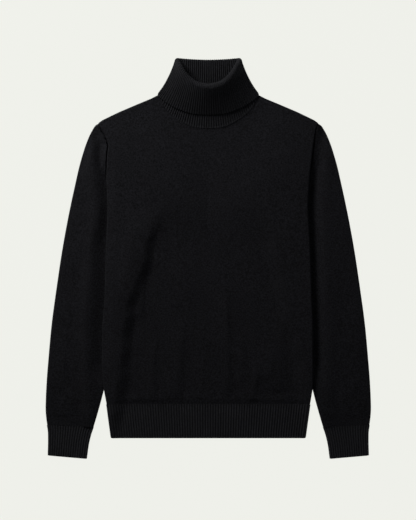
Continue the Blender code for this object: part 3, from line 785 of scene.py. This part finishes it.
def round_loop(column, at):
    """A collar column read round the whole neck; `at` runs from 0 to 2, and 1 is the back."""
    table = np.array(COLLAR_ROWS)
    sideways = column in (1, 4, 8)
    share = table[:, 0]
    value = table[:, column]
    mirrored = -value if sideways else value
    knots = np.concatenate([share, 2.0 - share[-2:0:-1]])
    values = np.concatenate([value, mirrored[-2:0:-1]])
    count = len(knots)
    before = np.roll(knots, 1)
    before[0] -= 2.0
    after = np.roll(knots, -1)
    after[-1] += 2.0
    tangent = (np.roll(values, -1) - np.roll(values, 1)) / (after - before)
    index = np.clip(np.searchsorted(knots, at, side="right") - 1, 0, count - 1)
    following = (index + 1) % count
    span = after[index] - knots[index]
    place = (at - knots[index]) / span
    square, cube = place**2, place**3
    result = (2 * cube - 3 * square + 1) * values[index]
    result += (cube - 2 * square + place) * span * tangent[index]
    result += (3 * square - 2 * cube) * values[following]
    result += (cube - square) * span * tangent[following]
    return result


def through(first, between, last, at, place):
    """The parabola that is at first, between and last when place is 0, `at` and 1."""
    low = (place - at) * (place - 1.0) / at
    mid = place * (place - 1.0) / (at * (at - 1.0))
    high = place * (place - at) / (1.0 - at)
    return low * first + mid * between + high * last


STAND_PLACES = np.concatenate([[0.0, 0.008, 0.02, 0.04], np.linspace(0.07, 0.96, 13)])
FOLD_PLACES = np.concatenate([np.linspace(0.05, 0.95, 13), [0.97, 0.982, 0.99, 0.996, 1.0]])
ARC_PLACES = np.linspace(0.0, 180.0, 17)


def rib_shares(columns):
    """Even steps from rib to rib as shares round the neck, from 0 to 2; 1 is the back."""
    shares = np.linspace(0.0, 1.0, 401)
    wider = smooth((shares - BACK_SPACED_FROM) / (BACK_SPACED_TO - BACK_SPACED_FROM))
    closeness = 1.0 / (1.0 + (BACK_SPACING - 1.0) * wider)
    passed = np.cumsum(closeness) - closeness[0]
    turn = 2.0 * np.arange(columns) / columns
    at = np.interp(np.minimum(turn, 2.0 - turn), passed / passed[-1], shares)
    return np.where(turn > 1.0, 2.0 - at, at)


def collar_piece(name, material):
    """The collar in one tube: up the stand, over the roll and down the fold-over outside it."""
    columns = RIB_STEPS * COLLAR_RIBS
    at = rib_shares(columns)
    seam = np.stack([round_loop(column, at) for column in (1, 2, 3)], axis=-1)
    centre = np.stack([round_loop(column, at) for column in (4, 5, 6)], axis=-1)
    radius = round_loop(7, at)[:, None]
    free = np.stack([round_loop(column, at) for column in (8, 9, 10)], axis=-1)
    knee = round_loop(11, at)[:, None]
    bulge = round_loop(12, at)[:, None]
    upward = unit(centre - seam)
    around = np.roll(centre, -1, axis=0) - np.roll(centre, 1, axis=0)
    outward = unit(np.cross(around, upward))
    top = centre - outward * radius
    round_half = np.minimum(at, 2.0 - at)
    straight = smooth((round_half - STRAIGHT_FROM) / (STRAIGHT_TO - STRAIGHT_FROM))
    start = centre + outward * radius
    puffed = (start + free) / 2.0 + outward * bulge
    rows = []
    for place in STAND_PLACES:
        row = seam + (top - seam) * place - outward * knee * STAND_BEND * place * (1.0 - place)
        row[:, 0] -= straight * (seam - top)[:, 0] * ((1.0 - place) - (1.0 - place) ** STRAIGHTENED)
        rows.append(row)
    for degrees in ARC_PLACES:
        angle = np.radians(degrees)
        rows.append(centre + (upward * np.sin(angle) - outward * np.cos(angle)) * radius)
    pinch = PINCH * np.exp(-(((round_half - PINCH_SHARE) / PINCH_SPREAD) ** 2)) * np.sign(centre[:, 0])
    for place in FOLD_PLACES:
        row = through(start, puffed, free, 0.5, place)
        row[:, 0] -= pinch * place * place * (1.0 - place) * PINCH_PEAK
        rows.append(row)
    middle = np.array(rows)
    along = np.gradient(middle, axis=0)
    beside = np.roll(middle, -1, axis=1) - np.roll(middle, 1, axis=1)
    normal = unit(np.cross(along, beside))
    crown = len(STAND_PLACES) + len(ARC_PLACES) // 2
    if ((middle[crown] - centre) * normal[crown])[0].sum() < 0.0:
        normal = -normal
    wave = rib_profile(columns, RIB_STEPS)
    crest = RIB_HEIGHT * wave - VALLEY_DEPTH * (1.0 - wave)
    from_side = np.abs(round_half - SIDE_SHARE)
    at_front = smooth((RIB_CHANGE - round_half) / RIB_CHANGE_SPREAD)
    at_back = smooth((round_half - RIB_CHANGE) / RIB_CHANGE_SPREAD)
    plain_side = smooth((from_side - PLAIN_FROM) / PLAIN_SPREAD)
    up_roll = smooth(ARC_PLACES / 90.0)
    on_stand = at_back + (plain_side - at_back) * smooth(STAND_PLACES / 0.9)[:, None]
    roll_rib = 1.0 + (ROLL_RIB - 1.0) * smooth(ARC_PLACES / 60.0)
    on_roll = roll_rib[:, None] * (plain_side + (1.0 - plain_side) * up_roll[:, None])
    fold_rib = ROLL_RIB + (FOLD_RIB - ROLL_RIB) * smooth(FOLD_PLACES / 0.5)
    on_fold = fold_rib[:, None] * (1.0 + (at_front - 1.0) * smooth(FOLD_PLACES / 0.35)[:, None])
    weight = np.concatenate([on_stand, on_roll, on_fold])
    flat_side = FLATTENED * np.exp(-(((round_half - FLAT_SHARE) / FLAT_SPREAD) ** 2))
    fading = 1.0 - smooth((FOLD_PLACES - 0.25) / 0.35)
    reach = np.concatenate([np.zeros(len(STAND_PLACES)), up_roll, fading])
    weight *= 1.0 - reach[:, None] * flat_side
    thin = SIDE_THINNING * (1.0 - smooth(from_side / THINNING_SPREAD))
    half = np.full(weight.shape, COLLAR_WALL / 2.0)
    half[: crown + 1] -= thin
    near_edge = smooth((FOLD_PLACES - EDGE_THIN_FROM) / EDGE_THIN_SPREAD)
    half[-len(FOLD_PLACES) :] -= EDGE_THINNING * near_edge[:, None]
    edge_gap = np.full(len(middle), FAR)
    fold_length = np.linalg.norm(free - start, axis=-1).mean()
    edge_gap[-len(FOLD_PLACES) :] = (1.0 - FOLD_PLACES) * fold_length
    rim = (round_rim(edge_gap, COLLAR_WALL / 2.0) / (COLLAR_WALL / 2.0))[:, None]
    face_a = middle + normal * ((half + crest * weight) * rim)[..., None]
    seen_below = (1.0 - smooth((STAND_PLACES - 0.35) / 0.3)) * smooth(STAND_PLACES / 0.04 + 0.1)
    weight_b = np.zeros(weight.shape)
    weight_b[: len(STAND_PLACES)] = seen_below[:, None] * at_front
    up_stand = STAND_PLACES * np.linalg.norm(top - seam, axis=-1).mean()
    bead = np.zeros((len(middle), 1))
    bead[: len(STAND_PLACES), 0] = SEAM_BEAD * np.exp(-(((up_stand - BEAD_PLACE) / BEAD_WIDTH) ** 2))
    face_b = middle - normal * ((half + crest * weight_b + bead * at_front) * rim)[..., None]
    for face in (face_a, face_b):
        face[..., 2] = np.maximum(face[..., 2], 0.0)
    run = np.concatenate([[0.0], np.cumsum(np.linalg.norm(np.diff(middle, axis=0), axis=-1).mean(axis=1))])
    knit = np.empty_like(middle)
    knit[..., 0] = np.arange(columns)[None, :] / RIB_STEPS
    knit[..., 1] = run[:, None]
    # The knit's third value carries a painted highlight on the roll and painted shade down the fold-over
    shade = np.full((len(middle), 1), ROLL_PAINTED_HIGHLIGHT)
    shade[-len(FOLD_PLACES) :, 0] += (FOLD_PAINTED_SHADE - ROLL_PAINTED_HIGHLIGHT) * smooth(FOLD_PLACES / SHADE_CHANGE)
    knit[..., 2] = shade + (wave - shade) * np.maximum(weight, weight_b)
    return shell(name, face_a, face_b, knit, True, material)


# Materials -----------------------------------------------------------------------------------

# Spacing of the plain knit's wales and of the courses, in millimetres; a rib is one wale
WALE = 2.1
COURSE = 1.7
RIB_COURSE = 1.9
FULL_TURN = 6.2832
# How round a stitch's two legs are across
LEG_ROUNDNESS = 2.2
BUMP_STRENGTH = 0.55
BUMP_DISTANCE = 0.0007
# Noise scales per metre: nap, single fibres and uneven dye
FUZZ_SCALE = 1400.0
FUZZ_HEIGHT = 0.55
FIBRE_SCALE = 360.0
CLOUD_SCALE = 14.0
# How much lighter and darker single fibres are
MELANGE = 0.66
RIB_MELANGE = 0.35
# How dark a rib's valley is, as painted shade, and how light its crest, as a painted highlight
RIB_VALLEY_PAINTED_SHADE = 0.62
RIB_CREST_PAINTED_HIGHLIGHT = 1.1
SPECULAR = 0.12
SHEEN = 0.012
SHEEN_ROUGHNESS = 0.5
SHEEN_TINT = (0.9, 0.92, 1.0, 1.0)


class Graph:
    """A short way to write shader nodes."""

    def __init__(self, material):
        self.tree = material.node_tree

    def node(self, kind, **settings):
        made = self.tree.nodes.new(kind)
        for name, value in settings.items():
            setattr(made, name, value)
        return made

    def put(self, socket, value):
        if isinstance(value, bpy.types.NodeSocket):
            self.tree.links.new(value, socket)
        else:
            socket.default_value = value

    def math(self, operation, first, second=0.0, third=0.0):
        made = self.node("ShaderNodeMath", operation=operation)
        for socket, value in zip(made.inputs, (first, second, third)):
            self.put(socket, value)
        return made.outputs[0]

    def noise(self, scale, detail, roughness=0.5, vector=None):
        made = self.node("ShaderNodeTexNoise")
        made.inputs["Scale"].default_value = scale
        made.inputs["Detail"].default_value = detail
        made.inputs["Roughness"].default_value = roughness
        if vector is not None:
            self.put(made.inputs["Vector"], vector)
        return made.outputs["Fac"]

    def ramp(self, value, low, high, to_low, to_high):
        made = self.node("ShaderNodeMapRange")
        for name, number in (("From Min", low), ("From Max", high), ("To Min", to_low), ("To Max", to_high)):
            made.inputs[name].default_value = number
        self.put(made.inputs["Value"], value)
        return made.outputs["Result"]


def knit_material(name, base, ribbed):
    """Black wool: wales and courses of V stitches in relief, a mix of darker and lighter fibre, painted
    shade between the stitches and in rib valleys, and a painted highlight on loops and rib crests.
    """
    material = bpy.data.materials.new(name)
    material.use_nodes = True
    shader = material.node_tree.nodes["Principled BSDF"]
    graph = Graph(material)
    read = graph.node("ShaderNodeAttribute", attribute_type="GEOMETRY", attribute_name="knit")
    parts = graph.node("ShaderNodeSeparateXYZ")
    graph.put(parts.inputs[0], read.outputs["Vector"])
    across, along, crest = parts.outputs
    place = graph.node("ShaderNodeTexCoord").outputs["Object"]
    wale = across if ribbed else graph.math("DIVIDE", across, WALE)
    part = graph.math("FRACT", graph.math("ADD", wale, 0.5 if ribbed else 0.0))
    leg = graph.math("ABSOLUTE", graph.math("MULTIPLY_ADD", part, 2.0, -1.0))
    column = graph.math("SUBTRACT", 1.0, graph.math("POWER", leg, LEG_ROUNDNESS))
    course = graph.math("DIVIDE", along, RIB_COURSE if ribbed else COURSE)
    slant = graph.math("ADD", course, graph.math("MULTIPLY", leg, 0.5))
    stitch = graph.math("SINE", graph.math("MULTIPLY", slant, FULL_TURN))
    stitch = graph.math("MULTIPLY_ADD", stitch, 0.5, 0.5)
    loop = graph.math("MULTIPLY", column, graph.math("MULTIPLY_ADD", stitch, 0.5, 0.5))
    fuzz = graph.noise(FUZZ_SCALE, 3.0, 0.7, place)
    height = graph.math("MULTIPLY_ADD", fuzz, FUZZ_HEIGHT, loop)
    bump = graph.node("ShaderNodeBump")
    bump.inputs["Strength"].default_value = BUMP_STRENGTH
    bump.inputs["Distance"].default_value = BUMP_DISTANCE
    graph.put(bump.inputs["Height"], height)
    graph.put(shader.inputs["Normal"], bump.outputs["Normal"])
    mixed = RIB_MELANGE if ribbed else MELANGE
    fibre = graph.ramp(graph.noise(FIBRE_SCALE, 2.0, 0.6, place), 0.34, 0.66, 1.0 - mixed, 1.0 + mixed)
    cloud = graph.ramp(graph.noise(CLOUD_SCALE, 3.0, 0.5, place), 0.3, 0.7, 0.93, 1.07)
    shade = graph.math("MULTIPLY", fibre, cloud)
    # Darker between a stitch's legs and lighter on its loops: painted shade in the gaps and a painted
    # highlight on the loops
    low, high = (0.9, 1.05) if ribbed else (0.75, 1.12)
    shade = graph.math("MULTIPLY", shade, graph.ramp(loop, 0.0, 1.0, low, high))
    # Ribs: painted shade in the valleys and a painted highlight on the crests
    if ribbed:
        shade = graph.math("MULTIPLY", shade, graph.ramp(crest, 0.0, 0.8, RIB_VALLEY_PAINTED_SHADE, RIB_CREST_PAINTED_HIGHLIGHT))
    colour = graph.node("ShaderNodeVectorMath", operation="SCALE")
    colour.inputs[0].default_value = base
    graph.put(colour.inputs["Scale"], shade)
    graph.put(shader.inputs["Base Color"], colour.outputs["Vector"])
    graph.put(shader.inputs["Roughness"], graph.ramp(fuzz, 0.2, 0.8, 0.84, 0.98))
    shader.inputs["Specular IOR Level"].default_value = SPECULAR
    shader.inputs["Sheen Weight"].default_value = SHEEN
    shader.inputs["Sheen Roughness"].default_value = SHEEN_ROUGHNESS
    shader.inputs["Sheen Tint"].default_value = SHEEN_TINT
    return material


plain = knit_material("plain_knit_black", (0.0090, 0.0091, 0.0112), False)
rib = knit_material("rib_knit_black", (0.0156, 0.0158, 0.0183), True)
# The collar's rib is a darker copy of the rib colour: painted shade on the collar, most of all on its
# fold-over
collar_rib = knit_material("collar_rib_black_painted_shade", (0.0103, 0.0105, 0.0124), True)

# Pieces --------------------------------------------------------------------------------------

front_panel = body_piece("front_panel_cloth", True, 140, 178, plain)
back_panel = body_piece("back_panel_cloth", False, 104, 130, plain)
hem_front = hem_piece("hem_front_cloth", True, rib)
hem_back = hem_piece("hem_back_cloth", False, rib)
collar = collar_piece("collar_cloth", collar_rib)
sleeves = {}
cuffs = {}
top_steps = RIB_STEPS * CUFF_RIBS
cuff_top = np.arange(top_steps) / top_steps
cuff_around = np.concatenate([cuff_top, 1.0 + cuff_top])
cuff_ribs = rib_profile(2 * top_steps, RIB_STEPS)[None, :]
for end, side in (("left", 1.0), ("right", -1.0)):
    name = f"sleeve_{end}_cloth"
    relief_of = sleeve_relief(side)
    sleeves[end] = tube_piece(
        name, SLEEVE_ROWS, side, SLEEVE_PLACES, SLEEVE_AROUND, relief_of, None, False, plain
    )
    name = f"cuff_{end}_cloth"
    cuffs[end] = tube_piece(
        name, CUFF_ROWS, side, CUFF_PLACES, cuff_around, cuff_relief, cuff_ribs, True, rib
    )

# Flat cut of each piece: width and length in metres, area in square metres, and what it lies on
UNDER_FRONT = ("back_panel", "sleeve_left", "sleeve_right")
CUTS = (
    (front_panel, "front_panel", "plain_knit", (0.445, 0.620), 0.248, UNDER_FRONT),
    (back_panel, "back_panel", "plain_knit", (0.445, 0.620), 0.254, ("sleeve_left", "sleeve_right")),
    (hem_front, "hem_front", "rib_knit", (0.408, 0.068), 0.0272, ("hem_back",)),
    (hem_back, "hem_back", "rib_knit", (0.408, 0.068), 0.0272, ()),
    (collar, "collar", "rib_knit", (0.420, 0.175), 0.059, ("front_panel", "back_panel")),
    (sleeves["left"], "sleeve_left", "plain_knit", (0.400, 0.560), 0.150, ()),
    (sleeves["right"], "sleeve_right", "plain_knit", (0.400, 0.560), 0.150, ()),
    (cuffs["left"], "cuff_left", "rib_knit", (0.190, 0.062), 0.0110, ()),
    (cuffs["right"], "cuff_right", "rib_knit", (0.190, 0.062), 0.0110, ()),
)
for piece, node, slot, flat, area, rests_on in CUTS:
    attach(piece, "root")
    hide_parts(node)

# Floor ---------------------------------------------------------------------------------------

FLOOR_COLOUR = (0.871, 0.880, 0.831, 1.0)
FLOOR_GLOW = 0.985
FLOOR_DIFFUSE = 0.015

# The floor ends in a round wall: radius and height, in metres
COVE = ((5.5, -0.0006), (6.4, 0.12), (7.1, 0.6), (7.5, 1.6), (7.6, 4.0), (7.6, 9.0))
COVE_SIDES = 48
turns = np.arange(COVE_SIDES) * 2.0 * np.pi / COVE_SIDES
cove = [(reach * np.cos(turn), reach * np.sin(turn), height) for reach, height in COVE for turn in turns]
cove_faces = grid_quads(len(COVE), COVE_SIDES, 0, True).tolist()
paper = bpy.data.materials.new("paper")
paper.use_nodes = True
paper_shader = paper.node_tree.nodes["Principled BSDF"]
paper_shader.inputs["Base Color"].default_value = tuple(FLOOR_DIFFUSE * c for c in FLOOR_COLOUR[:3]) + (1.0,)
paper_shader.inputs["Roughness"].default_value = 1.0
paper_shader.inputs["Specular IOR Level"].default_value = 0.0
paper_shader.inputs["Emission Color"].default_value = FLOOR_COLOUR
paper_shader.inputs["Emission Strength"].default_value = FLOOR_GLOW
for name, faces in (("floor", [list(range(COVE_SIDES))]), ("wall", cove_faces)):
    stage_mesh = bpy.data.meshes.new(name)
    stage_mesh.from_pydata(cove, [], faces)
    stage_mesh.shade_smooth()
    stage_mesh.materials.append(paper)
    ground = bpy.data.objects.new(name, stage_mesh)
    bpy.context.scene.collection.objects.link(ground)
    ground.visible_diffuse = name == "floor"
    ground.visible_glossy = False
    ground.visible_shadow = False

# Light ---------------------------------------------------------------------------------------


def area_light(name, place, target, size, watts, colour):
    light = bpy.data.lights.new(name, "AREA")
    light.shape = "DISK"
    light.size = size
    light.energy = watts
    light.color = colour
    lamp = bpy.data.objects.new(name, light)
    lamp.location = place
    lamp.rotation_euler = (Vector(target) - Vector(place)).to_track_quat("-Z", "Y").to_euler()
    lamp.visible_camera = False
    bpy.context.scene.collection.objects.link(lamp)
    return lamp


area_light("key", (-0.93, 1.16, 0.74), (0.0, -0.05, 0.0), 0.7, 22.6, (1.0, 0.99, 0.97))
area_light("fill", (1.5, 0.35, 0.6), (0.1, 0.0, 0.0), 1.0, 3.6, (0.97, 0.98, 1.0))
world = bpy.data.worlds.new("studio")
world.use_nodes = True
backdrop = world.node_tree.nodes["Background"]
backdrop.inputs["Color"].default_value = (0.95, 0.96, 0.97, 1.0)
backdrop.inputs["Strength"].default_value = 0.07
bpy.context.scene.world = world
bpy.context.scene.view_settings.view_transform = "Standard"
bpy.context.scene.view_settings.look = "None"

# Camera --------------------------------------------------------------------------------------

# Straight above the sweater, in metres, with the height of what the picture takes in
CAMERA_HEIGHT = 4.0
SEEN_HEIGHT = 1.04
SENSOR_WIDTH = 36.0
camera_data = bpy.data.cameras.new("camera")
camera_data.sensor_width = SENSOR_WIDTH
camera_data.lens = SENSOR_WIDTH * CAMERA_HEIGHT / SEEN_HEIGHT
camera = bpy.data.objects.new("camera", camera_data)
camera.location = (-0.0006, -0.0046, CAMERA_HEIGHT)
bpy.context.scene.collection.objects.link(camera)
bpy.context.scene.camera = camera
